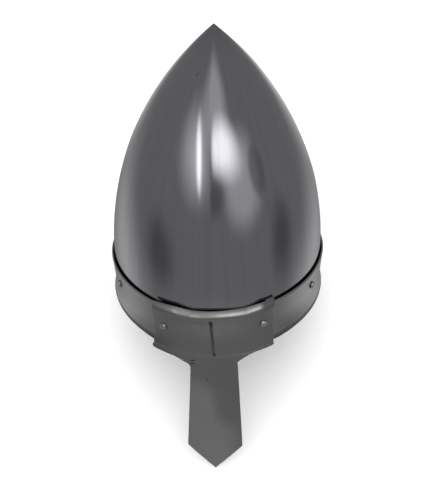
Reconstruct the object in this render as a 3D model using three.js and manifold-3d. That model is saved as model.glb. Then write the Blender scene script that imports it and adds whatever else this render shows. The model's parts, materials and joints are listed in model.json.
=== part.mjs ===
// Conical nasal helmet of dark polished steel: a pointed bowl with a ridge from brow to nape, a riveted brow
// band with a flared lip, and one plate that covers the brow and runs down as the nose guard.
// Millimetres. The helmet's own frame has its rim in the plane z = 0, the bowl's axis along +Z and the face
// at -Y. At the end the helmet is leant back until it rests on the nose guard's tip and the back of its rim.

import * as THREE from "three";
import { mergeVertices } from "three/addons/utils/BufferGeometryUtils.js";
import Module from "manifold-3d";

const wasm = await Module();
wasm.setup();

// Gap that is left between two pieces that touch on the real helmet
const SEAT_GAP = 0.35;
// Gap between the band's lip and the brow plate that is rolled over it
const ROLL_GAP = 0.6;
// How far the flat facets of a curved sheet lie inside its true curve, at most
const FACET_SAG = 0.4;
// Further gap under a rivet's flat head, because the sheet under it is curved
const HEAD_CLEARANCE = 0.1;

// Bowl: its side outline is one arc on each side, widest at the top of the band, and meets in a point
const BOWL_HALF_WIDTH = 98.4;
const BOWL_WIDEST_Z = 40;
const BOWL_HEIGHT = 245;
const BOWL_WALL = 1.6;
// Depth over half-width of every level outline, before and behind the widest line
const FRONT_DEPTH = 1.21;
const REAR_DEPTH = 1.1;
// How far the two sides' curves are drawn together at the ridge, over the half-width, at the bowl's point
const RIDGE_DRAW = 0.16;

// Brow band
const BAND_TOP = 42;
const BAND_WALL = 1.45;
const BAND_LIP_WALL = 1;
const BAND_WAIST_Z = 18;
const BAND_WAIST_RADIUS = 99.4;
const BAND_LIP_FLARE = 2.1;
const BAND_FOOT_FLARE = 1.3;
const BAND_HEM_RADIUS = 93.4;
// Rounded corner between the band's foot and its turned-in hem, and how much of it is left after rounding
const BAND_CORNER = 2.2;
const BAND_CORNER_LEFT = 0.3;
// Heights of the rows of facets up the band
const BAND_LEVELS = [BAND_CORNER, 10, BAND_WAIST_Z, 26, 32, 37, BAND_TOP];

// Brow plate and nose guard, one sheet
const PLATE_THICKNESS = 2.2;
const BROW_HALF_SPAN = 50.5;
const BROW_DROP = 3.5;
// Drop in which the sweep from brow to nose guard narrows to 1/e of its width
const BROW_SWEEP = 4;
const NASAL_ROOT_HALF_WIDTH = 20;
const NASAL_SHOULDER_HALF_WIDTH = 23.6;
const NASAL_SHOULDER_DROP = 96;
const NASAL_DROP = 118.5;
const NASAL_TIP_HALF_WIDTH = 2.2;
const NASAL_LEAN = THREE.MathUtils.degToRad(7.5);
// The sheet's steeper flare, just under the band
const FOOT_FLARE = THREE.MathUtils.degToRad(19);
const FOOT_FLARE_DROP = 6;
// Share of the band's roundness that the nose guard has lost at its tip
const NASAL_FLATTENING = 0.5;
// Back face of the sheet where it is rolled over the band's lip: how far inward of the lip and above it
const PLATE_ROLL = [
  { inward: 2.3, above: 0.3 },
  { inward: 0.8, above: 0.2 },
  { inward: 0, above: -0.6 },
];
// Rows of facets down the sheet: heights on the band, steps of the sweep, and drops along the nose guard
const PLATE_BAND_LEVELS = [37, 32, 26, BAND_WAIST_Z, 10, 3];
const PLATE_SWEEP_STEPS = [0, 0.25, 0.6, 1.1, 1.6, 2.4, 3.4, 4.6];
const NASAL_DROPS = [34, 62, NASAL_SHOULDER_DROP, NASAL_DROP];

// Rivets, a domed head outside and a flattened one inside
const RIVET_HEAD_RADIUS = 3.3;
const RIVET_HEAD_HEIGHT = 2.3;
const RIVET_SHANK_RADIUS = 1.9;
const RIVET_TAIL_RADIUS = 2.9;
const RIVET_TAIL_HEIGHT = 1.1;
const RIVET_HOLE_RADIUS = RIVET_SHANK_RADIUS + SEAT_GAP;
// Rounded profiles of the two heads, as shares of each head's radius and height
const TAIL_PROFILE = [
  { radius: 0, height: 1 },
  { radius: 0.8, height: 1 },
  { radius: 1, height: 0.5 },
  { radius: 1, height: 0 },
];
const HEAD_PROFILE = [
  { radius: 1, height: 0 },
  { radius: 0.87, height: 0.5 },
  { radius: 0.5, height: 0.87 },
  { radius: 0, height: 1 },
];
// How far a drill reaches beyond the metal at each end
const DRILL_REACH = 6;
// Places of the rivets: turn from the face in degrees, and height. Left and right are as seen from in front.
// The two in the brow plate were punched a little out of level.
const RIVET_SITES = [
  { name: "rivet_brow_left", turn: -24.5, z: 18.5, throughPlate: true },
  { name: "rivet_brow_right", turn: 24.5, z: 22.5, throughPlate: true },
  { name: "rivet_side_left", turn: -60, z: 28, throughPlate: false },
  { name: "rivet_side_right", turn: 60, z: 28, throughPlate: false },
  { name: "rivet_rear_left", turn: -106, z: 28, throughPlate: false },
  { name: "rivet_rear_right", turn: 106, z: 28, throughPlate: false },
  { name: "rivet_nape_left", turn: -154, z: 28, throughPlate: false },
  { name: "rivet_nape_right", turn: 154, z: 28, throughPlate: false },
];

// Fineness of the faceted surfaces
const COLUMNS = 52;
const ARC_STEPS = 13;
const PLATE_COLUMNS = 14;
const RIVET_SIDES = 12;

const steel = (color, roughness) => new THREE.MeshStandardMaterial({ color, roughness, metalness: 0.95 });

// A level outline of the helmet. turn runs from 0 at the face through PI at the nape. With draw above 0 the
// two sides are ellipses set closer together by that share of the half-width, so that they meet at an angle.
function outlinePoint(halfWidth, turn, z, draw = 0) {
  const side = turn <= Math.PI ? 1 : -1;
  const along = side > 0 ? turn : 2 * Math.PI - turn;
  const start = Math.asin(draw / (1 + draw));
  const angle = start + (1 - (2 * start) / Math.PI) * along;
  const depth = Math.cos(angle) > 0 ? FRONT_DEPTH : REAR_DEPTH;
  const x = halfWidth * ((1 + draw) * Math.sin(angle) - draw);
  return new THREE.Vector3(side * x, (-depth * halfWidth * Math.cos(angle)) / Math.cos(start), z);
}

function outlineRing(halfWidth, z, draw, shift) {
  const turns = Array.from({ length: COLUMNS }, (_, i) => (2 * Math.PI * (i + shift)) / COLUMNS);
  return turns.map((turn) => outlinePoint(halfWidth, turn, z, draw));
}

// Closed surface through a row of rings. A ring of one point is a pole. With loop, the last ring joins the
// first; with folded ends, an end ring is closed by pairing its points across it.
function surfaceThrough(rings, { loop = false, foldedEnds = false } = {}) {
  const points = rings.flat();
  const firstIndex = [];
  rings.reduce((sum, ring, k) => ((firstIndex[k] = sum), sum + ring.length), 0);
  const faces = [];
  const lastPair = loop ? rings.length : rings.length - 1;
  for (let k = 0; k < lastPair; k++) {
    const next = (k + 1) % rings.length;
    const [a, b] = [rings[k].length, rings[next].length];
    for (let i = 0; i < Math.max(a, b); i++) {
      const j = (i + 1) % Math.max(a, b);
      const [p, q] = [firstIndex[k] + (a > 1 ? i : 0), firstIndex[k] + (a > 1 ? j : 0)];
      const [r, s] = [firstIndex[next] + (b > 1 ? i : 0), firstIndex[next] + (b > 1 ? j : 0)];
      if (a > 1) faces.push([p, q, s]);
      if (b > 1) faces.push([p, s, r]);
    }
  }
  if (foldedEnds) {
    for (const [k, turned] of [[0, false], [rings.length - 1, true]]) {
      const last = rings[k].length - 1;
      for (let i = 0; i < last - i - 1; i++) {
        const [p, q, r, s] = [i, i + 1, last - i - 1, last - i].map((n) => firstIndex[k] + n);
        const pair = q === r ? [[p, q, s]] : [[p, r, q], [p, s, r]];
        for (const face of pair) faces.push(turned ? [face[0], face[2], face[1]] : face);
      }
    }
  }
  const geometry = new THREE.BufferGeometry().setFromPoints(points);
  geometry.setIndex(faces.flat());
  return facingOut(geometry);
}

function signedVolume(geometry) {
  const position = geometry.getAttribute("position");
  const corner = [0, 1, 2].map(() => new THREE.Vector3());
  let sum = 0;
  for (let i = 0; i < geometry.index.count; i += 3) {
    corner.forEach((v, k) => v.fromBufferAttribute(position, geometry.index.getX(i + k)));
    sum += corner[0].dot(corner[1].cross(corner[2])) / 6;
  }
  return sum;
}

function facingOut(geometry) {
  if (signedVolume(geometry) < 0) geometry.index.array.reverse();
  return geometry;
}

function toSolid(geometry) {
  const bare = geometry.clone();
  bare.deleteAttribute("normal");
  bare.deleteAttribute("uv");
  const merged = mergeVertices(bare, 1e-4);
  return new wasm.Manifold(
    new wasm.Mesh({
      numProp: 3,
      vertProperties: Float32Array.from(merged.getAttribute("position").array),
      triVerts: Uint32Array.from(merged.index.array),
    })
  );
}

function drilled(geometry, drills) {
  const cut = drills.reduce((solid, drill) => solid.subtract(toSolid(drill)), toSolid(geometry)).getMesh();
  const result = new THREE.BufferGeometry();
  result.setAttribute("position", new THREE.BufferAttribute(cut.vertProperties, 3));
  result.setIndex(new THREE.BufferAttribute(cut.triVerts, 1));
  return result;
}

// Bowl. The arc's radius follows from its height above the widest line and its half-width there.
const ARC_RISE = BOWL_HEIGHT - BOWL_WIDEST_Z;
const ARC_RADIUS = (ARC_RISE ** 2 + BOWL_HALF_WIDTH ** 2) / (2 * BOWL_HALF_WIDTH);
const ARC_CENTRE = ARC_RADIUS - BOWL_HALF_WIDTH;

function bowlHalfWidth(z, radius = ARC_RADIUS) {
  return Math.sqrt(radius ** 2 - (z - BOWL_WIDEST_Z) ** 2) - ARC_CENTRE;
}

function ridgeDraw(z) {
  return RIDGE_DRAW * Math.max(0, (z - BAND_TOP) / (BOWL_HEIGHT - BAND_TOP));
}

// Rings of one face of the bowl, inner or outer, from the rim up to its point
function bowlFace(radius, rimZ) {
  const top = Math.acos(ARC_CENTRE / radius);
  const bottom = Math.asin((rimZ - BOWL_WIDEST_Z) / radius);
  const heights = Array.from({ length: ARC_STEPS }, (_, i) => {
    const angle = THREE.MathUtils.lerp(bottom, top, i / ARC_STEPS);
    return BOWL_WIDEST_Z + radius * Math.sin(angle);
  });
  const rings = heights.map((z) => outlineRing(bowlHalfWidth(z, radius), z, ridgeDraw(z), 0));
  return [...rings, [new THREE.Vector3(0, 0, BOWL_WIDEST_Z + radius * Math.sin(top))]];
}

function makeBowl(drills) {
  const rimZ = BAND_WALL + SEAT_GAP;
  const outside = bowlFace(ARC_RADIUS, rimZ);
  const inside = bowlFace(ARC_RADIUS - BOWL_WALL, rimZ);
  return drilled(surfaceThrough([...inside.reverse(), ...outside]), drills);
}

// Band. Its outer face is narrowest at the waist, and flares to the lip above and a little to the foot below.
function bandRadius(z) {
  if (z < BAND_WAIST_Z) return BAND_WAIST_RADIUS + BAND_FOOT_FLARE * (1 - z / BAND_WAIST_Z) ** 2;
  return BAND_WAIST_RADIUS + BAND_LIP_FLARE * ((z - BAND_WAIST_Z) / (BAND_TOP - BAND_WAIST_Z)) ** 1.5;
}

// The band's sheet is drawn thinner towards its lip
function bandWall(z) {
  const share = Math.max(0, (z - BAND_WAIST_Z) / (BAND_TOP - BAND_WAIST_Z));
  return THREE.MathUtils.lerp(BAND_WALL, BAND_LIP_WALL, share);
}

function makeBand(drills) {
  const outside = BAND_LEVELS.map((z) => ({ radius: bandRadius(z), z }));
  const inside = BAND_LEVELS.map((z) => ({ radius: bandRadius(z) - bandWall(z), z })).reverse();
  const hem = [
    { radius: bandRadius(0) - BAND_WALL, z: BAND_WALL },
    { radius: BAND_HEM_RADIUS, z: BAND_WALL },
    { radius: BAND_HEM_RADIUS, z: 0 },
    { radius: bandRadius(0) - BAND_CORNER, z: 0 },
    { radius: bandRadius(0) - BAND_CORNER * BAND_CORNER_LEFT, z: BAND_CORNER * BAND_CORNER_LEFT },
  ];
  // Half a column of turn puts a straight run of the rim, not a corner, at the face and at the nape
  const rings = [...outside, ...inside, ...hem].map(({ radius, z }) => outlineRing(radius, z, 0, 0.5));
  return drilled(surfaceThrough(rings, { loop: true }), drills);
}

// Brow plate and nose guard. Half-width of the sheet at a height: level over the brow, then an exponential
// sweep into the nose guard, which widens slowly to its shoulders and runs to a point.
function plateHalfWidth(z) {
  const drop = -z;
  if (drop <= BROW_DROP) return BROW_HALF_SPAN;
  const widening = (NASAL_SHOULDER_HALF_WIDTH - NASAL_ROOT_HALF_WIDTH) / NASAL_SHOULDER_DROP;
  if (drop <= NASAL_SHOULDER_DROP) {
    const straight = NASAL_ROOT_HALF_WIDTH + widening * drop;
    const rootAtDrop = NASAL_ROOT_HALF_WIDTH + widening * BROW_DROP;
    return straight + (BROW_HALF_SPAN - rootAtDrop) * Math.exp((BROW_DROP - drop) / BROW_SWEEP);
  }
  const share = (drop - NASAL_SHOULDER_DROP) / (NASAL_DROP - NASAL_SHOULDER_DROP);
  return THREE.MathUtils.lerp(NASAL_SHOULDER_HALF_WIDTH, NASAL_TIP_HALF_WIDTH, share);
}

// How far the sheet stands out in front of the rim's outline below the band
function plateStandOff(z) {
  const drop = Math.max(0, -z);
  const flared = Math.min(drop, FOOT_FLARE_DROP);
  return Math.tan(FOOT_FLARE) * flared + Math.tan(NASAL_LEAN) * (drop - flared);
}

// A point of the sheet's back face, with side from -1 to 1 across it
function plateBack(side, { radius, z }) {
  const x = side * plateHalfWidth(z);
  const bend = 1 - NASAL_FLATTENING * Math.max(0, -z / NASAL_DROP);
  const round = bend * (1 - Math.sqrt(1 - (x / radius) ** 2));
  return new THREE.Vector3(x, -FRONT_DEPTH * radius * (1 - round) - plateStandOff(z), z);
}

function makePlate(drills) {
  const lip = { radius: bandRadius(BAND_TOP) + ROLL_GAP, z: BAND_TOP + ROLL_GAP };
  const rolled = PLATE_ROLL.map(({ inward, above }) => ({ radius: lip.radius - inward, z: lip.z + above }));
  const onBand = PLATE_BAND_LEVELS.map((z) => ({ radius: bandRadius(z) + SEAT_GAP, z }));
  const drops = [0, ...PLATE_SWEEP_STEPS.map((step) => BROW_DROP + step * BROW_SWEEP), ...NASAL_DROPS];
  const below = drops.map((drop) => ({ radius: bandRadius(0) + SEAT_GAP, z: -drop }));
  const stations = [...rolled, ...onBand, ...below];
  const sides = Array.from({ length: PLATE_COLUMNS + 1 }, (_, i) => (2 * i) / PLATE_COLUMNS - 1);
  const back = stations.map((station) => sides.map((side) => plateBack(side, station)));
  const front = back.map((row, k) =>
    row.map((point, i) => {
      const across = row[Math.min(i + 1, row.length - 1)].clone().sub(row[Math.max(i - 1, 0)]);
      const down = plateBack(0, stations[Math.min(k + 1, stations.length - 1)]);
      down.sub(plateBack(0, stations[Math.max(k - 1, 0)])).setX(0);
      return point.clone().addScaledVector(down.cross(across).normalize(), PLATE_THICKNESS);
    })
  );
  const rings = back.map((row, k) => [...row, ...front[k].slice().reverse()]);
  return drilled(surfaceThrough(rings, { foldedEnds: true }), drills);
}

// Rivets. A site is the point of the outer face under the head, the way out of it, and the depth of the
// metal under it down to the bowl's inner face.
function rivetSite({ name, turn: degrees, z, throughPlate }) {
  const turn = THREE.MathUtils.degToRad(degrees);
  const depth = Math.abs(turn) < Math.PI / 2 ? FRONT_DEPTH : REAR_DEPTH;
  const level = new THREE.Vector3(depth * Math.sin(turn), -Math.cos(turn), 0);
  // Distance along the surface's normal for each millimetre of half-width
  const spread = depth / level.length();
  const radius = bandRadius(z) + (throughPlate ? SEAT_GAP + PLATE_THICKNESS / spread : 0);
  const slope = (bandRadius(z + 1) - bandRadius(z - 1) + bowlHalfWidth(z + 1) - bowlHalfWidth(z - 1)) / 4;
  return {
    name,
    throughPlate,
    place: new THREE.Vector3(radius * Math.sin(turn), -depth * radius * Math.cos(turn), z),
    out: level.normalize().setZ(-slope).normalize(),
    metal: spread * (radius - bowlHalfWidth(z, ARC_RADIUS - BOWL_WALL)),
  };
}

function alongSite(geometry, site) {
  const turned = new THREE.Quaternion().setFromUnitVectors(new THREE.Vector3(0, 1, 0), site.out);
  return geometry.applyQuaternion(turned).translate(site.place.x, site.place.y, site.place.z);
}

function drillAt(site) {
  const length = site.metal + 2 * DRILL_REACH;
  const drill = new THREE.CylinderGeometry(RIVET_HOLE_RADIUS, RIVET_HOLE_RADIUS, length, RIVET_SIDES);
  return alongSite(drill.translate(0, DRILL_REACH - length / 2, 0), site);
}

function makeRivet(site) {
  const seat = SEAT_GAP + HEAD_CLEARANCE;
  const tail = -site.metal - FACET_SAG - SEAT_GAP;
  const at = (radius, height) => new THREE.Vector2(radius, height);
  const points = [
    ...TAIL_PROFILE.map((p) => at(RIVET_TAIL_RADIUS * p.radius, tail - RIVET_TAIL_HEIGHT * p.height)),
    at(RIVET_SHANK_RADIUS, tail),
    at(RIVET_SHANK_RADIUS, seat),
    ...HEAD_PROFILE.map((p) => at(RIVET_HEAD_RADIUS * p.radius, seat + RIVET_HEAD_HEIGHT * p.height)),
  ];
  return alongSite(new THREE.LatheGeometry(points, RIVET_SIDES), site);
}

const sites = RIVET_SITES.map(rivetSite);
const drills = sites.map(drillAt);
const plateDrills = sites.filter((site) => site.throughPlate).map(drillAt);

const pieces = {
  bowl: [makeBowl(drills), steel(0x5d5b62, 0.3)],
  brow_band: [makeBand(drills), steel(0x67676a, 0.38)],
  brow_and_nasal_plate: [makePlate(plateDrills), steel(0x605f62, 0.36)],
};
for (const site of sites) pieces[site.name] = [makeRivet(site), steel(0x8b8b8e, 0.3)];

const helmet = new THREE.Group();
for (const [name, [geometry, material]] of Object.entries(pieces)) {
  const mesh = new THREE.Mesh(geometry, material);
  mesh.name = name;
  helmet.add(mesh);
}

// Lean of the resting helmet: the line under the nose guard's tip and the back of the band's rim
function restingLean() {
  const sidePoints = (geometry, keep) => {
    const position = geometry.getAttribute("position");
    const all = Array.from({ length: position.count }, (_, i) => [position.getY(i), position.getZ(i)]);
    return all.filter(keep);
  };
  const tip = sidePoints(pieces.brow_and_nasal_plate[0], ([, z]) => z < -NASAL_SHOULDER_DROP);
  const rim = sidePoints(pieces.brow_band[0], ([y, z]) => y > 0 && z < BAND_WAIST_Z);
  const leans = tip.map(([ty, tz]) => Math.min(...rim.map(([ry, rz]) => Math.atan2(rz - tz, ry - ty))));
  return Math.max(...leans);
}

helmet.rotation.x = -restingLean();

// The origin is on the surface that the helmet rests on, under the middle of its outline
const resting = new THREE.Group();
resting.add(helmet);
resting.updateMatrixWorld(true);
const box = new THREE.Box3().setFromObject(resting, true);
helmet.position.set(-(box.min.x + box.max.x) / 2, -(box.min.y + box.max.y) / 2, -box.min.z);
resting.updateMatrixWorld(true);

export default resting;
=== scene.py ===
import json

import bmesh
import bpy
import numpy as np
from mathutils import Matrix, Vector


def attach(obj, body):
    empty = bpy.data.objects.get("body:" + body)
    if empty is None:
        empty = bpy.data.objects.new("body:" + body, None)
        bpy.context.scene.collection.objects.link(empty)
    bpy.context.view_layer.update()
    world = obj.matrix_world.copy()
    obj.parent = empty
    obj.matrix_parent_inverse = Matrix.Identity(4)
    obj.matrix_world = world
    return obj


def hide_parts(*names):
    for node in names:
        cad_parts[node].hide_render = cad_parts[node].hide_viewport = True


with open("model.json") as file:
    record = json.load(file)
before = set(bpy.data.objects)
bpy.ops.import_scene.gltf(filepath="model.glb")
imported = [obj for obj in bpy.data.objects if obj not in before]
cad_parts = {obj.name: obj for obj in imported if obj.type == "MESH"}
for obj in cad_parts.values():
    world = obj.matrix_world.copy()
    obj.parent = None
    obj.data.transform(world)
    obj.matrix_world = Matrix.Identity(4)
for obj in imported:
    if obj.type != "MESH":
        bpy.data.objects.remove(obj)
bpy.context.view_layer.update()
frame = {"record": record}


# Bowl
# Two raised halves of 1.6 mm steel sheet, welded along a ridge from brow to nape and ground smooth, so that
# the shell is one pointed dome. The outside is polished by hand and keeps the soft unevenness of the hammer.

# The helmet's own frame is in millimetres, with the rim at height 0, the bowl's point on its upright axis and
# the face towards -y. The record's two mounts say where that frame lies in the row's frame.
MILLIMETRE = 0.001
OPENING_CENTRE = np.array([0.0, -5.0, 0.0])
mounts = {mount["name"]: mount for mount in frame["record"]["mounts"]}
opening_place = np.array(mounts["head_opening"]["pos_m"])
helmet_up = -np.array(mounts["head_opening"]["axis"])
helmet_back = np.array(mounts["rim_edge"]["pos_m"]) - opening_place
helmet_back /= np.linalg.norm(helmet_back)
helmet_axes = np.stack([np.cross(helmet_back, helmet_up), helmet_back, helmet_up])

BOWL_HALF_WIDTH = 98.4
BOWL_WIDEST_HEIGHT = 40.0
BOWL_HEIGHT = 245.0
BOWL_RIM_HEIGHT = 1.8
BOWL_WALL = 1.6
FRONT_DEPTH = 1.21
REAR_DEPTH = 1.1
RIDGE_DRAW = 0.16
RIDGE_BASE_HEIGHT = 42.0
RIDGE_ROUNDING = 1.3
BOWL_COLUMNS = 280
BOWL_ROWS = 190
BOWL_INNER_ROWS = 56


def in_row(points):
    """Points in the row's frame, in metres: the helmet's millimetres turned onto its three directions."""
    return opening_place + (points - OPENING_CENTRE) * MILLIMETRE @ helmet_axes


def level_outline(half_width, turn, height, draw=0.0):
    """Points of a level outline. turn runs from 0 at the face through pi at the nape. Each side is half an
    ellipse, deeper in front than behind; draw sets the two sides closer together, so that they meet at an
    angle, and that ridge is rounded by taking the root of the turn's square plus a small square."""
    side = np.where(turn <= np.pi, 1.0, -1.0)
    along = np.where(turn <= np.pi, turn, 2 * np.pi - turn)
    start = np.arcsin(draw / (1 + draw))
    rounding = np.minimum(0.3, RIDGE_ROUNDING / np.maximum(half_width, 1.0))
    rounded = np.where(
        along < np.pi / 2,
        np.sqrt(along**2 + rounding**2),
        np.pi - np.sqrt((np.pi - along) ** 2 + rounding**2),
    )
    x = half_width * ((1 + draw) * np.sin(start + (1 - 2 * start / np.pi) * along) - draw)
    angle = start + (1 - 2 * start / np.pi) * rounded
    depth = np.where(np.cos(angle) > 0, FRONT_DEPTH, REAR_DEPTH)
    y = -depth * half_width * np.cos(angle) / np.cos(start)
    return np.stack([side * x, y, height + 0 * x], axis=-1)


def fine_turns(columns, crowding):
    """Turns round the helmet, crowded at the face and the nape by a sine taken off an even spread."""
    even = np.linspace(0, 2 * np.pi, columns + 1)
    return even - crowding * np.sin(2 * even) / 2


def closed_sheet(name, points, surface_place):
    """Mesh through a grid of points, rows by columns, whose edges lie on each other and are merged.
    surface_place is each point's two distances along the surface in metres, kept as the mesh's UV map."""
    columns = points.shape[1]
    first = (np.arange(points.shape[0] - 1)[:, None] * columns + np.arange(columns - 1)).ravel()
    quads = np.stack([first, first + 1, first + columns + 1, first + columns], axis=1)
    mesh = bpy.data.meshes.new(name)
    mesh.from_pydata(in_row(points.reshape(-1, 3)).tolist(), [], quads.tolist())
    uv_map = mesh.uv_layers.new(name="surface")
    uv_map.data.foreach_set("uv", surface_place.reshape(-1, 2)[quads.ravel()].ravel())
    sheet = bmesh.new()
    sheet.from_mesh(mesh)
    bmesh.ops.remove_doubles(sheet, verts=sheet.verts, dist=1e-6)
    bmesh.ops.recalc_face_normals(sheet, faces=sheet.faces)
    sheet.to_mesh(mesh)
    sheet.free()
    mesh.shade_smooth()
    piece = bpy.data.objects.new(name, mesh)
    bpy.context.scene.collection.objects.link(piece)
    return piece


def hammer_waves(turn, height, strength, seed):
    """Soft dents and swellings in millimetres: round bell curves of either sign, scattered over the turn and
    the height, each 12 to 30 mm across, added up."""
    chance = np.random.default_rng(seed)
    waves = np.zeros(np.broadcast(turn, height).shape)
    for _ in range(90):
        centre_turn, centre_height = chance.uniform(0, 2 * np.pi), chance.uniform(30, 235)
        width, rise = chance.uniform(9, 20), chance.normal(0, strength)
        across = 95 * ((turn - centre_turn + np.pi) % (2 * np.pi) - np.pi)
        waves += rise * np.exp(-(across**2 + (height - centre_height) ** 2) / (2 * width**2))
    return waves


arc_rise = BOWL_HEIGHT - BOWL_WIDEST_HEIGHT
bowl_arc_radius = (arc_rise**2 + BOWL_HALF_WIDTH**2) / (2 * BOWL_HALF_WIDTH)
bowl_arc_centre = bowl_arc_radius - BOWL_HALF_WIDTH


def bowl_face(arc_radius, rows):
    """Half-widths and heights up one face of the bowl: even steps along one circular arc, from the rim to
    the point."""
    bottom = np.arcsin((BOWL_RIM_HEIGHT - BOWL_WIDEST_HEIGHT) / arc_radius)
    steps = np.linspace(bottom, np.arccos(bowl_arc_centre / arc_radius), rows)
    half_width = np.maximum(arc_radius * np.cos(steps) - bowl_arc_centre, 0)
    return half_width, BOWL_WIDEST_HEIGHT + arc_radius * np.sin(steps)


outer_width, outer_height = bowl_face(bowl_arc_radius, BOWL_ROWS)
inner_width, inner_height = bowl_face(bowl_arc_radius - BOWL_WALL, BOWL_INNER_ROWS)
width_rows = np.concatenate([outer_width, inner_width[::-1], outer_width[:1]])
height_rows = np.concatenate([outer_height, inner_height[::-1], outer_height[:1]])
row_width, turn = np.meshgrid(width_rows, fine_turns(BOWL_COLUMNS, 0.82), indexing="ij")
row_height = np.broadcast_to(height_rows[:, None], turn.shape)
draw = RIDGE_DRAW * np.maximum(0, (row_height - RIDGE_BASE_HEIGHT) / (BOWL_HEIGHT - RIDGE_BASE_HEIGHT))
fade = np.clip((row_height - 44) / 30, 0, 1) * np.clip(row_width / 40, 0, 1)
dented_width = row_width + fade * hammer_waves(turn, row_height, 0.22, 7)
bowl_points = level_outline(dented_width, turn, row_height, draw)
up_the_bowl = np.cumsum(np.hypot(np.diff(width_rows, prepend=width_rows[0]), np.diff(height_rows, prepend=0)))
bowl_place = np.stack(
    [turn * BOWL_HALF_WIDTH * MILLIMETRE, up_the_bowl[:, None] * MILLIMETRE + 0 * turn], axis=-1
)
bowl = closed_sheet("helmet_bowl", bowl_points, bowl_place)


def group_socket(group, name, kind, direction):
    return group.interface.new_socket(name, in_out=direction, socket_type=kind)


def add_node(tree, kind, inputs=None, **settings):
    """A node with its settings and its inputs: an input is a plain value or another node's output socket."""
    node = tree.nodes.new(kind)
    for key, value in settings.items():
        setattr(node, key, value)
    for key, value in (inputs or {}).items():
        if isinstance(value, bpy.types.NodeSocket):
            tree.links.new(value, node.inputs[key])
        else:
            node.inputs[key].default_value = value
    return node


def stretched_noise(tree, place, stretch, scale, detail=3.0, roughness=0.5):
    """Noise read at places multiplied by a stretch, so that its spots become streaks along one direction."""
    mapping = add_node(tree, "ShaderNodeMapping", {"Vector": place, "Scale": stretch})
    noise = add_node(
        tree,
        "ShaderNodeTexNoise",
        {"Vector": mapping.outputs["Vector"], "Scale": scale, "Detail": detail, "Roughness": roughness},
    )
    return noise.outputs["Fac"]


def remapped(tree, value, low, high, to_low=0.0, to_high=1.0):
    """A value moved from one range into another and held there."""
    ranged = add_node(
        tree,
        "ShaderNodeMapRange",
        {"Value": value, "From Min": low, "From Max": high, "To Min": to_low, "To Max": to_high},
        clamp=True,
    )
    return ranged.outputs["Result"]


def mixed_colour(tree, share, first, second):
    """A colour between two colours, by a share from 0 to 1."""
    return add_node(tree, "ShaderNodeMix", {0: share, 6: first, 7: second}, data_type="RGBA").outputs[2]


def arithmetic(tree, operation, first, second):
    return add_node(tree, "ShaderNodeMath", {0: first, 1: second}, operation=operation).outputs[0]


def make_mark_group():
    """A mark along a straight line between two places on the surface: the distance to the nearest point of
    the line, over the mark's half-width, gives 1 on the line and 0 beyond that half-width."""
    group = bpy.data.node_groups.new("line_mark", "ShaderNodeTree")
    for name in ("Surface", "Start", "Run"):
        group_socket(group, name, "NodeSocketVector", "INPUT")
    group_socket(group, "Half Width", "NodeSocketFloat", "INPUT")
    group_socket(group, "Mark", "NodeSocketFloat", "OUTPUT")
    into = group.nodes.new("NodeGroupInput").outputs

    def vector_step(operation, first, second, output="Vector"):
        inputs = {0: first, 1: second}
        return add_node(group, "ShaderNodeVectorMath", inputs, operation=operation).outputs[output]

    offset = vector_step("SUBTRACT", into["Surface"], into["Start"])
    square = vector_step("DOT_PRODUCT", into["Run"], into["Run"], "Value")
    share = arithmetic(group, "DIVIDE", vector_step("DOT_PRODUCT", offset, into["Run"], "Value"), square)
    nearest = add_node(group, "ShaderNodeVectorMath", {0: into["Run"]}, operation="SCALE")
    group.links.new(remapped(group, share, 0.0, 1.0), nearest.inputs["Scale"])
    distance = vector_step("DISTANCE", offset, nearest.outputs["Vector"], "Value")
    nearness = arithmetic(group, "SUBTRACT", 1.0, arithmetic(group, "DIVIDE", distance, into["Half Width"]))
    result = group.nodes.new("NodeGroupOutput").inputs
    group.links.new(remapped(group, nearness, 0.0, 0.6), result["Mark"])
    return group


line_mark = make_mark_group()


def make_polish_group():
    """Marks of hand polishing on sheet steel. Fine lines run along the surface's second direction; broader
    streaks and cloudy patches change the polish. Height is for a bump, Streaks and Clouds run from 0 to 1."""
    group = bpy.data.node_groups.new("hand_polish", "ShaderNodeTree")
    group_socket(group, "Surface", "NodeSocketVector", "INPUT")
    group_socket(group, "Object", "NodeSocketVector", "INPUT")
    for name in ("Height", "Streaks", "Clouds"):
        group_socket(group, name, "NodeSocketFloat", "OUTPUT")
    into = group.nodes.new("NodeGroupInput").outputs
    lines = stretched_noise(group, into["Surface"], (1.0, 0.02, 1.0), 1400, detail=2)
    streaks = stretched_noise(group, into["Surface"], (1.0, 0.035, 1.0), 130, detail=4, roughness=0.6)
    clouds = stretched_noise(group, into["Object"], (1, 1, 1), 16, detail=3, roughness=0.45)
    grit = stretched_noise(group, into["Object"], (1, 1, 1), 900, detail=2)
    height = arithmetic(group, "ADD", lines, arithmetic(group, "MULTIPLY", grit, 0.35))
    result = group.nodes.new("NodeGroupOutput").inputs
    group.links.new(height, result["Height"])
    group.links.new(remapped(group, streaks, 0.3, 0.7), result["Streaks"])
    group.links.new(remapped(group, clouds, 0.3, 0.7), result["Clouds"])
    return group


hand_polish = make_polish_group()


# A mark darker than this share of the steel's colour is also rougher, by up to the second value
DULL_SHADE = 0.8
DULL_ROUGHNESS = 0.3


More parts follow.
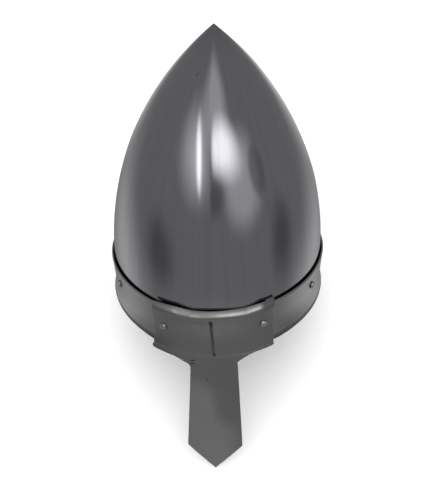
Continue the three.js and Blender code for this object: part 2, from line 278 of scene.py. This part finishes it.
def steel_material(name, colours, roughness, roughness_range, bump, swap_directions=False, marks=()):
    """Steel with polishing marks. Of its three colours, the streaks pull the first towards the second and the
    clouds towards the third; both change the roughness over its range. Each mark is a line from one place to
    another on the surface in millimetres, its half-width, its colour as a share of the first, and its cover;
    a dark mark is also duller."""
    material = bpy.data.materials.new(name)
    material.use_nodes = True
    tree = material.node_tree
    shader = tree.nodes["Principled BSDF"]
    place = add_node(tree, "ShaderNodeTexCoord")
    surface = place.outputs["UV"]
    unturned = surface
    if swap_directions:
        turned = add_node(tree, "ShaderNodeMapping", {"Vector": surface, "Rotation": (0, 0, np.pi / 2)})
        surface = turned.outputs["Vector"]
    polish_inputs = {"Surface": surface, "Object": place.outputs["Object"]}
    polish = add_node(tree, "ShaderNodeGroup", polish_inputs, node_tree=hand_polish)
    steel = mixed_colour(tree, polish.outputs["Streaks"], (*colours[0], 1), (*colours[1], 1))
    tint_share = arithmetic(tree, "MULTIPLY", polish.outputs["Clouds"], 0.6)
    steel = mixed_colour(tree, tint_share, steel, (*colours[2], 1))
    dullness = 0.0
    for start, end, half_width, shade, cover in marks:
        mark_inputs = {
            "Surface": unturned,
            "Start": (*np.array(start) * MILLIMETRE, 0),
            "Run": (*(np.array(end) - start) * MILLIMETRE, 0),
            "Half Width": half_width * MILLIMETRE,
        }
        mark = add_node(tree, "ShaderNodeGroup", mark_inputs, node_tree=line_mark)
        share = arithmetic(tree, "MULTIPLY", mark.outputs["Mark"], cover)
        steel = mixed_colour(tree, share, steel, (*np.multiply(colours[0], shade), 1))
        if shade < DULL_SHADE:
            dullness = arithmetic(tree, "MAXIMUM", dullness, share)
    tree.links.new(steel, shader.inputs["Base Color"])
    unevenness = arithmetic(
        tree,
        "ADD",
        arithmetic(tree, "MULTIPLY", polish.outputs["Clouds"], 0.65),
        arithmetic(tree, "MULTIPLY", polish.outputs["Streaks"], 0.35),
    )
    low, high = roughness - roughness_range / 2, roughness + roughness_range / 2
    polished = remapped(tree, unevenness, 0.1, 0.9, low, high)
    dulled = arithmetic(tree, "ADD", polished, arithmetic(tree, "MULTIPLY", dullness, DULL_ROUGHNESS))
    tree.links.new(dulled, shader.inputs["Roughness"])
    relief = add_node(
        tree,
        "ShaderNodeBump",
        {"Height": polish.outputs["Height"], "Distance": bump * MILLIMETRE, "Strength": 1.0},
    )
    tree.links.new(relief.outputs["Normal"], shader.inputs["Normal"])
    shader.inputs["Metallic"].default_value = 1.0
    return material


bowl_girth = 2 * np.pi * BOWL_HALF_WIDTH
bowl_side = np.hypot(np.diff(outer_width), np.diff(outer_height)).sum()
BOWL_MARKS = [
    # The unpolished inside
    ((0, 1.5 * bowl_side), (bowl_girth, 1.5 * bowl_side), 0.62 * bowl_side, 0.45, 0.95),
    # A nick beside the ridge, and two light scratches on it
    ((584.9, 229.9), (582.3, 227.6), 0.75, 0.12, 1.0),
    ((610.5, 248.5), (612.8, 240.0), 0.35, 1.7, 0.6),
    ((579.0, 236.5), (577.5, 235.0), 0.5, 1.5, 0.5),
]
bowl_colours = [(0.42, 0.413, 0.43), (0.355, 0.352, 0.37), (0.385, 0.378, 0.43)]
bowl_steel = steel_material("bowl_steel", bowl_colours, 0.1, 0.06, 0.0012, marks=BOWL_MARKS)
bowl.data.materials.append(bowl_steel)
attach(bowl, "root")
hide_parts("bowl")


# Brow band
# One strip of steel, about 1.5 mm thick, riveted round the foot of the bowl. Its upper edge is drawn thin and
# flared clear into a lip, which dips at the brow, and its lower edge is turned in under the bowl's rim.

BAND_TOP = 42.0
BAND_DIP = 4.9
BAND_TRIM = 2.6
BAND_WALL = 1.45
BAND_LIP_ROUNDING = 1.1
BAND_WAIST_HEIGHT = 18.0
BAND_WAIST_RADIUS = 99.4
BAND_LIP_FLARE = 1.8
BAND_FOOT_FLARE = 2.1
BAND_SIDE_DROPS = (2.4, 3.6)
BAND_SIDE_FLARE = 0.95
BAND_HEM_RADIUS = 93.4
BAND_CORNER = 4.0
BAND_COLUMNS = 240


def turn_from_brow(turn):
    """A turn round the helmet moved into the range from minus pi to pi, with 0 at the brow."""
    return (turn + np.pi) % (2 * np.pi) - np.pi


def lip_height(turn):
    """Height of the band's lip round the helmet: level, less a bell curve that dips at the brow."""
    from_brow = np.degrees(turn_from_brow(turn)) + 4
    return BAND_TOP - BAND_DIP * np.exp(-((from_brow / 33) ** 2))


def hidden_dip(turn):
    """How much lower the lip is trimmed under the brow plate's fold: none beside the plate."""
    share = np.clip((0.47 - np.abs(turn_from_brow(turn))) / 0.1, 0, 1)
    return BAND_TRIM * share**2 * (3 - 2 * share)


def band_radius(height, foot_flare=BAND_FOOT_FLARE, lip=BAND_TOP):
    """Outer half-width of the band: narrowest at the waist, a power curve out to the lip above it and a
    square curve out to the foot below it."""
    above = np.maximum(height - BAND_WAIST_HEIGHT, 0) / (lip - BAND_WAIST_HEIGHT)
    below = np.maximum(BAND_WAIST_HEIGHT - height, 0) / BAND_WAIST_HEIGHT
    return BAND_WAIST_RADIUS + BAND_LIP_FLARE * above**1.5 + foot_flare * below**2


def arc_points(centre_radius, centre_height, reach, start, end, steps=6, rise=None):
    """Radii and heights round a corner: a circular arc about a centre, from one angle to another. With a
    rise, the arc is an ellipse that high."""
    angles = np.radians(np.linspace(start, end, steps))
    return centre_radius + reach * np.cos(angles), centre_height + (rise or reach) * np.sin(angles)


foot_radius = band_radius(BAND_CORNER)
lip_radius = band_radius(BAND_TOP)
climb = np.linspace(BAND_CORNER, BAND_TOP - BAND_LIP_ROUNDING, 34)
inner_climb = np.linspace(BAND_TOP - 0.15, BAND_CORNER, 30)
band_profile = [
    (band_radius(climb)[:-1], climb[:-1]),
    arc_points(lip_radius - 1.3, BAND_TOP - BAND_LIP_ROUNDING, 1.2, 0, 90, 10, BAND_LIP_ROUNDING),
    (band_radius(inner_climb) - BAND_WALL, inner_climb),
    arc_points(foot_radius - BAND_CORNER, BAND_CORNER, BAND_CORNER - BAND_WALL, 0, -90, 7),
    arc_points(BAND_HEM_RADIUS + 0.4, BAND_WALL - 0.4, 0.4, 90, 180, 4),
    arc_points(BAND_HEM_RADIUS + 0.4, 0.4, 0.4, 180, 270, 4),
    arc_points(foot_radius - BAND_CORNER, BAND_CORNER, BAND_CORNER, -90, 0, 14),
]
band_radii = np.concatenate([radius for radius, _ in band_profile])
band_heights = np.concatenate([height for _, height in band_profile])
row_radius, turn = np.meshgrid(band_radii, fine_turns(BAND_COLUMNS, 0.3), indexing="ij")
row_height = np.broadcast_to(band_heights[:, None], turn.shape)
lip_share = np.clip((row_height - 24) / 18, 0, 1) ** 2
wavy_radius = row_radius + 0.25 * lip_share * (np.sin(3 * turn + 1) + 0.6 * np.sin(7 * turn + 2.2)) / 2
from_brow = np.abs(turn_from_brow(turn))
beside_plate = np.clip((from_brow - 0.5) / 0.25, 0, 1) * np.clip((2.2 - from_brow) / 0.5, 0, 1)
foot_share = np.clip(1 - row_height / BAND_WAIST_HEIGHT, 0, 1) ** 2
wavy_radius = wavy_radius + BAND_SIDE_FLARE * beside_plate * foot_share
past_plate = np.maximum(from_brow - 0.52, 0)
near_plate = np.clip((from_brow - 0.44) / 0.08, 0, 1) * np.exp(-((past_plate / 0.18) ** 2))
side_drop = np.where(turn < np.pi, *BAND_SIDE_DROPS)
row_height = row_height - side_drop * near_plate * foot_share
above_waist = np.maximum(row_height - BAND_WAIST_HEIGHT, 0)
lip_stretch = (lip_height(turn) - hidden_dip(turn) - BAND_WAIST_HEIGHT) / (BAND_TOP - BAND_WAIST_HEIGHT)
row_height = row_height + above_waist * (lip_stretch - 1)
band_points = level_outline(wavy_radius, turn, row_height)
radius_steps = np.diff(band_radii, prepend=band_radii[0])
up_the_band = np.cumsum(np.hypot(radius_steps, np.diff(band_heights, prepend=0)))
band_place = np.stack(
    [turn * BAND_WAIST_RADIUS * MILLIMETRE, up_the_band[:, None] * MILLIMETRE + 0 * turn], axis=-1
)
band = closed_sheet("helmet_brow_band", band_points, band_place)
# Painted shade darkens the band where the hem turns under, standing for the shadowed floor it would mirror,
# and a painted highlight runs in a line above it
hem_shade_height = BAND_CORNER - 2.6
BAND_PAINTED_SHADE_AND_HIGHLIGHT = [((0, 7.8), (bowl_girth, 7.8), 1.0, 1.25, 0.6)]
for height in (hem_shade_height, hem_shade_height + up_the_band[-1] - BAND_CORNER):
    BAND_PAINTED_SHADE_AND_HIGHLIGHT.append(((0, height), (bowl_girth, height), 5.4, 0.38, 0.95))
band_colours = [(0.44, 0.44, 0.44), (0.38, 0.38, 0.385), (0.41, 0.405, 0.41)]
band_steel = steel_material("band_steel", band_colours, 0.3, 0.1, 0.004, True, BAND_PAINTED_SHADE_AND_HIGHLIGHT)
band.data.materials.append(band_steel)
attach(band, "root")
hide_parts("brow_band")


# Brow plate and nose guard
# One piece of 2.2 mm sheet. Its upper edge is folded in over the band's lip and ends in a raised corner at
# the wearer's left; its lower edge flares out and runs down as the nose guard.

PLATE_THICKNESS = 2.2
SEAT = 0.35
# The outline below the fold, down each side, in millimetres across and up from the rim: the brow's side, its
# flared lower corner, the sweep to the nose guard's root, and the guard's straight side
PLATE_RIGHT_EDGE = [(-50.5, 30), (-51, -1), (-52.5, -3), (-52, -4.5), (-33, -6), (-27, -8), (-20.5, -11)]
PLATE_RIGHT_EDGE += [(-19, -13.5), (-19, -20), (-23, -93.5)]
PLATE_LEFT_EDGE = [(50.5, 30), (50.5, 0), (51.5, -1), (50, -1.5), (34, -2.5), (27, -4.5), (21.5, -7.5)]
PLATE_LEFT_EDGE += [(20, -9), (20.5, -15), (24.5, -94.5)]
NASAL_TIP = (1, -116)
# The fold's bends from right to left: place across, height, reach beyond it, and its first turn in degrees
FOLD_BENDS = [
    (-51, 36, 6, 24),
    (-32, 36, 7, 28),
    (-18, 34, 7, 30),
    (5, 35, 6.5, 30),
    (29, 35, 7, 30),
    (43, 38, 6, 30),
    (44, 39, 7, 52),
    (51, 39.5, 7, 54),
]
FOLD_BULGE_PLACES = (-50, -10, 20, 50)
FOLD_BULGES = (1.3, 1.3, 0.5, 0.5)
GROOVE_TOP = (-1.6, 32.4)
GROOVE_FOOT = (0.5, -0.4)
GROOVE_DEPTH = 1.1


def softened_line(corners, softness):
    """Points along straight lines through corners: even steps, each then averaged with its neighbours under
    a bell curve whose spread is the softness, so that the corners are rounded."""
    corners = np.array(corners, float)
    run = np.concatenate([[0], np.cumsum(np.linalg.norm(np.diff(corners, axis=0), axis=1))])
    steps = np.arange(0, run[-1], 0.2)
    reach = np.arange(-3 * softness, 3 * softness + 0.1, 0.2)
    weights = np.exp(-(reach**2) / (2 * softness**2))
    weights /= weights.sum()
    sampled = [np.interp(steps[:, None] + reach, run, corners[:, axis]) @ weights for axis in (0, 1)]
    return np.stack(sampled, axis=1)


right_edge = softened_line(PLATE_RIGHT_EDGE + [NASAL_TIP], 0.5)
left_edge = softened_line(PLATE_LEFT_EDGE + [NASAL_TIP], 0.5)


def softened(value, width):
    """A straight rise above 0 whose start is rounded over a width: width times the log of 1 plus exp."""
    return width * np.logaddexp(0, value / width)


def stand_off(x, height):
    """How far the sheet stands out in front of the band below it: a flare under the band's foot that eases
    into the nose guard's gentle lean."""
    bend = -1.8 + 1.4 * np.clip((x - 12) / 30, 0, 1)
    steep, gentle = np.tan(np.radians(26)), np.tan(np.radians(7.38))
    return steep * softened(bend - height, 0.35) - (steep - gentle) * softened(bend - 2.4 - height, 0.6)


# Heights of the rows: close together where the outline turns sharply
lower_heights = np.concatenate(
    [
        np.linspace(3.5, -1.5, 11),
        np.linspace(-1.7, -8, 36),
        np.linspace(-8.3, -22, 40),
        np.linspace(-23, -92, 56),
        np.linspace(-92.5, -97, 12),
        np.linspace(-98, NASAL_TIP[1], 34),
    ]
)
across = np.unique(
    np.concatenate([np.linspace(-1, 1, 85), np.linspace(-0.075, 0.065, 29), np.linspace(0.84, 0.885, 9)])
)
FOLD_ROWS = 30
WALL_ROWS = 34


def groove_depth(x, height):
    """Depth of the chiselled groove down the plate's middle: a narrow bell curve about a straight line, with
    a round punch mark at its top and its foot."""
    middle = np.interp(height, [GROOVE_FOOT[1], GROOVE_TOP[1]], [GROOVE_FOOT[0], GROOVE_TOP[0]])
    within = np.clip((height - GROOVE_FOOT[1]) / 1.2, 0, 1) * np.clip((GROOVE_TOP[1] - height) / 2, 0, 1)
    top = np.hypot((x - GROOVE_TOP[0]) / 1.3, (height - GROOVE_TOP[1] + 2.2) / 2.4)
    foot = np.hypot(x - GROOVE_FOOT[0] - 0.6, height - GROOVE_FOOT[1]) / 0.9
    groove = GROOVE_DEPTH * within * np.exp(-(((x - middle) / 0.8) ** 2))
    return np.maximum(groove, np.maximum(0.9 * np.exp(-(top**4)), 0.6 * np.exp(-(foot**4))))


def plate_middle():
    """Points of the sheet's middle surface, rows from the folded edge down and columns across."""
    top_x = np.interp(across, [-1, 0, 1], [PLATE_RIGHT_EDGE[0][0], 0, PLATE_LEFT_EDGE[0][0]])
    places, heights, reaches, turns = zip(*FOLD_BENDS)
    fold = np.interp(top_x, places, heights)
    reach = np.interp(top_x, places, reaches)
    turned = np.interp(top_x, places, turns)
    bulge = np.interp(top_x, FOLD_BULGE_PLACES, FOLD_BULGES)
    # Wall from the fold down to the band's foot, and the rest below it down to the tip
    upper_z = np.linspace(0, 1, WALL_ROWS)[:, None] * (4 - fold) + fold
    right = np.interp(-lower_heights, -right_edge[:, 1], right_edge[:, 0])[:, None]
    left = np.interp(-lower_heights, -left_edge[:, 1], left_edge[:, 0])[:, None]
    lower_x = (left + right) / 2 + across * (left - right) / 2
    x = np.concatenate([np.broadcast_to(top_x, upper_z.shape), lower_x])
    z = np.concatenate([upper_z, np.broadcast_to(lower_heights[:, None], lower_x.shape)])
    side_turn = np.arcsin(x / 102)
    radius = band_radius(np.maximum(z, 0), lip=lip_height(side_turn)) + SEAT + PLATE_THICKNESS / 2
    radius = radius + bulge * np.clip((z - 26) / 9, 0, 1.2) ** 1.5
    flattening = 1 - 0.5 * np.maximum(0, -z / 118.5)
    roundness = flattening * (1 - np.sqrt(1 - (x / radius) ** 2))
    y = -FRONT_DEPTH * radius * (1 - roundness) - stand_off(x, z)
    # The sheet is creased a little along its middle line, and not quite even
    y = y - 0.9 * np.exp(-np.abs(x) / 16) * np.clip((34 - z) / 12, 0, 1)
    y = y + 0.10 * np.sin(x / 7 + 1) * np.sin(z / 9 + 0.5) + 0.07 * np.sin(x / 4.1 + z / 6.3)
    # Folded part, turned in step by step along its length
    run = np.linspace(0, 1, FOLD_ROWS + 1)[1:, None] * reach
    early = np.clip(run / np.interp(turned, [30, 54], [2.5, 1.2]), 0, 1)
    late = np.clip((run - 1.2) / (reach - 1.2), 0, 1)
    angle = np.radians(turned * early**2 * (3 - 2 * early) + (60 - turned) * late)
    step = reach / FOLD_ROWS
    fold_y = y[0] + np.cumsum(np.sin(angle), axis=0) * step
    fold_z = z[0] + np.cumsum(np.cos(angle), axis=0) * step
    folded = np.stack([np.broadcast_to(top_x, fold_y.shape), fold_y, fold_z], axis=-1)[::-1]
    return np.concatenate([folded, np.stack([x, y, z], axis=-1)])


def grid_normals(points):
    """Unit normals of a grid surface: the cross product of its two tangents, facing the grid's front."""
    down = np.gradient(points, axis=0)
    along = np.gradient(points, axis=1)
    normal = np.cross(down, along)
    return normal / np.linalg.norm(normal, axis=-1, keepdims=True)


EDGE_REACH = 0.55


def thickened(middle, thickness):
    """Closed grid round a middle surface: the front face, a rounded edge, the back face and the other edge.
    The edge's section is a superellipse, so that it looks sheared and then dressed with a file."""
    normal = grid_normals(middle)
    sides = []
    for column, neighbour in ((-1, -2), (0, 1)):
        run = np.gradient(middle[:, column], axis=0)
        out = np.cross(normal[:, column], run)
        out /= np.linalg.norm(out, axis=-1, keepdims=True)
        away = middle[:, column] - middle[:, neighbour]
        sides.append(out * np.sign(np.sum(out * away, axis=-1, keepdims=True)))
    angles = np.linspace(np.pi / 2, -np.pi / 2, 11)[1:-1]
    rise = np.sign(np.sin(angles)) * np.abs(np.sin(angles)) ** 0.55
    reach = np.abs(np.cos(angles)) ** 0.55 * EDGE_REACH
    half = thickness / 2
    rims = []
    for column, out, facing in ((-1, sides[0], 1), (0, sides[1], -1)):
        rims.append(
            middle[:, column][:, None]
            + facing * half * rise[None, :, None] * normal[:, column][:, None]
            + reach[None, :, None] * out[:, None]
        )
    front = middle + half * normal
    front = front + groove_depth(front[..., 0], front[..., 2])[..., None] * [0, 1, 0]
    back = (middle - half * normal)[:, ::-1]
    ring = np.concatenate([front, rims[0], back, rims[1], front[:, :1]], axis=1)
    ends = []
    for row, inward in ((0, 1), (-1, -2)):
        out = middle[row] - middle[inward]
        out /= np.linalg.norm(out, axis=-1, keepdims=True)
        around = [
            np.concatenate(
                [v, np.repeat(v[-1:], len(angles), 0), v[::-1], np.repeat(v[:1], len(angles), 0), v[:1]]
            )
            for v in (middle[row], out)
        ]
        turns = np.linspace(0, np.pi / 2, 6)[1:]
        shrink = np.cos(turns)[:, None, None] ** 0.55
        shrink[-1] = 0
        push = np.sin(turns)[:, None, None] ** 0.55 * EDGE_REACH
        ends.append(around[0] + (ring[row] - around[0]) * shrink + around[1] * push)
    return np.concatenate([ends[0][::-1], ring, ends[1]])


plate_mid = plate_middle()
plate_points = thickened(plate_mid, PLATE_THICKNESS)
plate_place = plate_points[..., [0, 2]] * MILLIMETRE
plate = closed_sheet("helmet_brow_and_nasal_plate", plate_points, plate_place)
PLATE_MARKS_AND_PAINTED_LIGHT = [
    # Painted reflection, brighter towards the tip at the wearer's right, and painted shade elsewhere on the
    # left, for how the sheet's two halves face the light
    ((-15, -52), (-2, -108), 34, 1.32, 0.85),
    ((9, -14), (14, -58), 17, 0.84, 0.7),
    ((-10, -16), (4, -24), 12, 0.86, 0.6),
    ((12, 14), (38, 14), 20, 0.93, 0.6),
    # Painted shade on the corner of the fold, which is also made rougher
    ((44.6, 42.5), (50.6, 43.5), 6.0, 0.55, 0.9),
    # Groove and its punched ends, darkened by painted shade and grime
    (GROOVE_TOP, GROOVE_FOOT, 1.6, 0.62, 0.9),
    ((-1.4, 32.6), (-0.9, 28.8), 2.1, 0.32, 0.9),
    ((1.0, 0.2), (1.4, -0.8), 1.6, 0.25, 0.9),
    # Two nicks at the root of the nose guard and a scuff below them
    ((-18.8, -7.3), (-16.3, -6.9), 0.8, 0.2, 0.95),
    ((-18.8, -10.3), (-16.4, -10.0), 0.8, 0.2, 0.95),
    ((-6.2, -23.8), (-5.2, -25.2), 0.9, 0.4, 0.8),
]
plate_colours = [(0.375, 0.375, 0.375), (0.335, 0.335, 0.34), (0.35, 0.353, 0.34)]
plate_steel = steel_material("plate_steel", plate_colours, 0.3, 0.12, 0.004, marks=PLATE_MARKS_AND_PAINTED_LIGHT)
plate.data.materials.append(plate_steel)
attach(plate, "root")
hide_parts("brow_and_nasal_plate")


# Rivets
# Eight round-headed steel rivets clamp the band, and the two in front the brow plate too. Each head is
# domed with a snap and dressed with a few hammer blows; inside, the tail is spread flat.

RIVET_HEAD_RADIUS = 3.3
RIVET_HEAD_HEIGHT = 2.3
RIVET_SHANK_RADIUS = 1.9
RIVET_TAIL_RADIUS = 2.9
RIVET_TAIL_HEIGHT = 1.1
RIVET_MARK_RADIUS = 3
# Turn in degrees, height, and whether it clamps the plate too; left and right are the picture's
RIVETS = {
    "rivet_brow_left": (-24.5, 18.5, True),
    "rivet_brow_right": (24.5, 22.5, True),
    "rivet_side_left": (-60.0, 28.0, False),
    "rivet_side_right": (60.0, 28.0, False),
    "rivet_rear_left": (-106.0, 28.0, False),
    "rivet_rear_right": (106.0, 28.0, False),
    "rivet_nape_left": (-154.0, 28.0, False),
    "rivet_nape_right": (154.0, 28.0, False),
}


def bowl_width_at(height, arc_radius):
    """Half-width of one face of the bowl at a height, from the circular arc of its side."""
    return np.sqrt(arc_radius**2 - (height - BOWL_WIDEST_HEIGHT) ** 2) - bowl_arc_centre


def rivet_points(turn_degrees, height, through_plate, seed):
    """A turned profile about the rivet's own line: tail, shank and domed head, the dome a quarter of a
    superellipse, dressed by cutting a few shallow flats off it."""
    turn = np.radians(turn_degrees)
    depth = FRONT_DEPTH if abs(turn) < np.pi / 2 else REAR_DEPTH
    level = np.array([depth * np.sin(turn), -np.cos(turn), 0])
    spread = depth / np.linalg.norm(level)
    outer = band_radius(height) + (SEAT + PLATE_THICKNESS / spread if through_plate else 0)
    slope = (
        band_radius(height + 1)
        - band_radius(height - 1)
        + bowl_width_at(height + 1, bowl_arc_radius)
        - bowl_width_at(height - 1, bowl_arc_radius)
    ) / 4
    place = np.array([outer * np.sin(turn), -depth * outer * np.cos(turn), height])
    out = level / np.linalg.norm(level)
    out = np.array([out[0], out[1], -slope])
    out /= np.linalg.norm(out)
    metal = spread * (outer - bowl_width_at(height, bowl_arc_radius - BOWL_WALL))
    dome = np.linspace(0, np.pi / 2, 12)
    head_radius = RIVET_HEAD_RADIUS * np.cos(dome) ** 0.8
    head_height = 0.45 + (RIVET_HEAD_HEIGHT - 0.1) * np.sin(dome) ** 0.9
    radius = np.concatenate(
        [
            RIVET_TAIL_RADIUS * np.array([0, 0.55, 0.9, 1, 0.93]),
            [RIVET_SHANK_RADIUS, RIVET_SHANK_RADIUS],
            [0.84 * RIVET_HEAD_RADIUS, 0.97 * RIVET_HEAD_RADIUS],
            head_radius,
        ]
    )
    tail = -metal - 0.3
    along = np.concatenate(
        [
            [tail - RIVET_TAIL_HEIGHT, tail - 1.05, tail - 0.8, tail - 0.4, tail],
            [tail, 0.0],
            [0.0, 0.2],
            head_height,
        ]
    )
    radius[-1] = 0
    turns = np.linspace(0, 2 * np.pi, 33)
    first = np.cross(out, [0, 0, 1])
    first /= np.linalg.norm(first)
    second = np.cross(out, first)
    around = np.cos(turns)[:, None] * first + np.sin(turns)[:, None] * second
    points = place + radius[:, None, None] * around + along[:, None, None] * out
    chance = np.random.default_rng(seed)
    for _ in range(7):
        facing = chance.normal(size=3)
        facing = facing - (facing @ out) * out
        facing = out + 0.8 * facing / np.linalg.norm(facing) * chance.uniform(0.1, 1)
        facing /= np.linalg.norm(facing)
        reach = (points - place) @ facing
        limit = reach.max() - chance.uniform(0.05, 0.25)
        points = points - np.maximum(reach - limit, 0)[..., None] * facing * 0.85
    around_shank = turns * RIVET_MARK_RADIUS * MILLIMETRE + 0 * radius[:, None]
    return points, np.stack([around_shank, along[:, None] * MILLIMETRE + 0 * turns], -1)


# Painted shade, with some dirt, darkens the seam under each head
SEAM_SHADE_AND_DIRT = [((0, 0), (20, 0), 0.9, 0.25, 0.95)]
rivet_colours = [(0.58, 0.58, 0.59), (0.47, 0.47, 0.475), (0.5, 0.5, 0.5)]
rivet_steel = steel_material("rivet_steel", rivet_colours, 0.26, 0.12, 0.006, marks=SEAM_SHADE_AND_DIRT)
for number, (name, (turn_degrees, height, through_plate)) in enumerate(RIVETS.items()):
    points, surface_place = rivet_points(turn_degrees, height, through_plate, number)
    rivet = closed_sheet("helmet_" + name, points, surface_place)
    rivet.data.materials.append(rivet_steel)
    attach(rivet, "root")
    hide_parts(name)


# Floor
# A plain pale floor. The polished steel doesn't mirror it: the world below does that part.

FLOOR_REACH = 6.0
floor_corners = [(-1, -1), (1, -1), (1, 1), (-1, 1)]
floor_mesh = bpy.data.meshes.new("floor")
floor_mesh.from_pydata([(x * FLOOR_REACH, y * FLOOR_REACH, 0) for x, y in floor_corners], [], [(0, 1, 2, 3)])
floor = bpy.data.objects.new("floor", floor_mesh)
bpy.context.scene.collection.objects.link(floor)
floor_paint = bpy.data.materials.new("floor_paint")
floor_paint.use_nodes = True
floor_shader = floor_paint.node_tree.nodes["Principled BSDF"]
floor_shader.inputs["Base Color"].default_value = (0.93, 0.93, 0.93, 1)
floor_shader.inputs["Roughness"].default_value = 0.9
floor_shader.inputs["Specular IOR Level"].default_value = 0.0
floor_mesh.materials.append(floor_paint)
floor.visible_glossy = False


# Studio light
# Soft boxes and dark screens stand round the helmet, and its polished bowl mirrors them. They are painted on
# the world in their order. The floor is lit by a plain white room, so that it stays pale.


def direction(azimuth, elevation):
    """Unit direction from an azimuth, 0 towards the face and 90 to the image's right, and an elevation."""
    a, e = np.radians([azimuth, elevation])
    return np.array([np.sin(a) * np.cos(e), -np.cos(a) * np.cos(e), np.sin(e)])


def make_screen_group():
    """A soft-edged ellipse of light or shade on the surroundings: a heading's two distances from the
    ellipse's axes, as shares of its half-widths, give a radius, and 1 less that radius over the softness,
    smoothed, is how much of the screen's colour covers what is under it."""
    group = bpy.data.node_groups.new("studio_screen", "ShaderNodeTree")
    for name in ("Heading", "Middle", "Across", "Upward"):
        group_socket(group, name, "NodeSocketVector", "INPUT")
    for name in ("Softness", "Cover"):
        group_socket(group, name, "NodeSocketFloat", "INPUT")
    for name in ("Colour", "Under"):
        group_socket(group, name, "NodeSocketColor", "INPUT")
    group_socket(group, "Result", "NodeSocketColor", "OUTPUT")
    into = group.nodes.new("NodeGroupInput").outputs

    def along(name):
        inputs = {0: into["Heading"], 1: into[name]}
        return add_node(group, "ShaderNodeVectorMath", inputs, operation="DOT_PRODUCT").outputs["Value"]

    squares = arithmetic(
        group,
        "ADD",
        arithmetic(group, "POWER", along("Across"), 2.0),
        arithmetic(group, "POWER", along("Upward"), 2.0),
    )
    inset = arithmetic(group, "SUBTRACT", 1.0, arithmetic(group, "SQRT", squares, 0.0))
    share = arithmetic(group, "DIVIDE", inset, into["Softness"])
    smooth = add_node(group, "ShaderNodeMapRange", {"Value": share}, interpolation_type="SMOOTHSTEP")
    same_side = remapped(group, along("Middle"), 0.0, 0.25)
    cover = arithmetic(group, "MULTIPLY", smooth.outputs["Result"], same_side)
    cover = arithmetic(group, "MULTIPLY", cover, into["Cover"])
    result = group.nodes.new("NodeGroupOutput").inputs
    group.links.new(mixed_colour(group, cover, into["Under"], into["Colour"]), result["Result"])
    return group


# Each screen's azimuth, elevation, half-width, half-height and turn in degrees, its softness and cover from
# 0 to 1, and its grey as radiance
STUDIO_SCREENS = {
    "white ground to the left": (-105, -35, 45, 30, 0, 1, 0.7, 0.8),
    "white ground to the right": (110, -45, 45, 30, 0, 1, 0.7, 0.8),
    "white ground in front": (0, -25, 60, 30, 0, 1, 0.5, 0.5),
    "white ground behind": (180, -30, 45, 20, 0, 1, 0.8, 1.2),
    "soft box overhead": (0, 90, 30, 30, 0, 0.6, 0.6, 0.9),
    "soft box to the left": (-60, 55, 35, 25, 0, 1, 0.9, 0.9),
    "key soft box's spill": (60, 40, 30, 25, 0, 0.6, 0.8, 0.7),
    "key soft box": (45, 65, 30, 18, -45, 0.8, 0.9, 2.5),
    "strip box": (-55, 57, 22, 4, -35, 0.6, 0.9, 3),
    "black card to the left": (-65, 0, 25, 20, 0, 0.8, 0.8, 0.1),
    "black card to the right": (80, -5, 20, 20, 0, 0.8, 0.8, 0.1),
    "black card above it": (80, 30, 12, 12, 0, 0.4, 0.7, 0.15),
    "camera and its stand": (10, 48, 18, 12, 0, 0.6, 0.9, 0.15),
}
ROOM_GREY = 0.25
WHITE_ROOM_STRENGTH = 1.7

world = bpy.data.worlds.new("studio")
bpy.context.scene.world = world
world.use_nodes = True
tree = world.node_tree
background = tree.nodes["Background"]
heading = add_node(tree, "ShaderNodeTexCoord").outputs["Generated"]
screen_group = make_screen_group()
under = (ROOM_GREY, ROOM_GREY, ROOM_GREY, 1)
for screen_values in STUDIO_SCREENS.values():
    azimuth, elevation, half_width, half_height, turn_degrees, softness, cover, grey = screen_values
    middle = direction(azimuth, elevation)
    level = np.array([np.cos(np.radians(azimuth)), np.sin(np.radians(azimuth)), 0])
    rising = np.cross(level, -middle)
    c, t = np.cos(np.radians(turn_degrees)), np.sin(np.radians(turn_degrees))
    screen_inputs = {
        "Heading": heading,
        "Middle": middle,
        "Across": (level * c + rising * t) / np.sin(np.radians(half_width)),
        "Upward": (rising * c - level * t) / np.sin(np.radians(half_height)),
        "Softness": softness,
        "Cover": cover,
        "Colour": (grey, grey, grey, 1),
        "Under": under,
    }
    under = add_node(tree, "ShaderNodeGroup", screen_inputs, node_tree=screen_group).outputs["Result"]
tree.links.new(under, background.inputs["Color"])
white_room = add_node(tree, "ShaderNodeBackground", {"Color": (1, 1, 1, 1), "Strength": WHITE_ROOM_STRENGTH})
rays = add_node(tree, "ShaderNodeLightPath").outputs
plain_rays = arithmetic(tree, "MAXIMUM", rays["Is Camera Ray"], rays["Is Diffuse Ray"])
surroundings = add_node(tree, "ShaderNodeMixShader", {0: plain_rays})
tree.links.new(background.outputs[0], surroundings.inputs[1])
tree.links.new(white_room.outputs[0], surroundings.inputs[2])
tree.links.new(surroundings.outputs[0], tree.nodes["World Output"].inputs["Surface"])


# Camera
# It looks down on the helmet from in front and a little to the wearer's left, as the photograph does.

CAMERA_PLACE = (0.02667, -0.35367, 0.63887)
CAMERA_AZIMUTH = 4.318
CAMERA_ELEVATION = 55.279
CAMERA_ROLL = -3.306
FRAME_HEIGHT = 491
FOCAL_PIXELS = 701.2

camera_data = bpy.data.cameras.new("camera")
camera_data.sensor_width = 36.0
camera_data.lens = FOCAL_PIXELS / FRAME_HEIGHT * camera_data.sensor_width
camera_data.clip_start = 0.01
camera = bpy.data.objects.new("camera", camera_data)
facing = Vector(direction(CAMERA_AZIMUTH, CAMERA_ELEVATION)).to_track_quat("Z", "Y").to_matrix().to_4x4()
rolled = facing @ Matrix.Rotation(np.radians(CAMERA_ROLL), 4, "Z")
camera.matrix_world = Matrix.Translation(Vector(CAMERA_PLACE)) @ rolled
bpy.context.scene.collection.objects.link(camera)
bpy.context.scene.camera = camera
bpy.context.scene.view_settings.view_transform = "Standard"
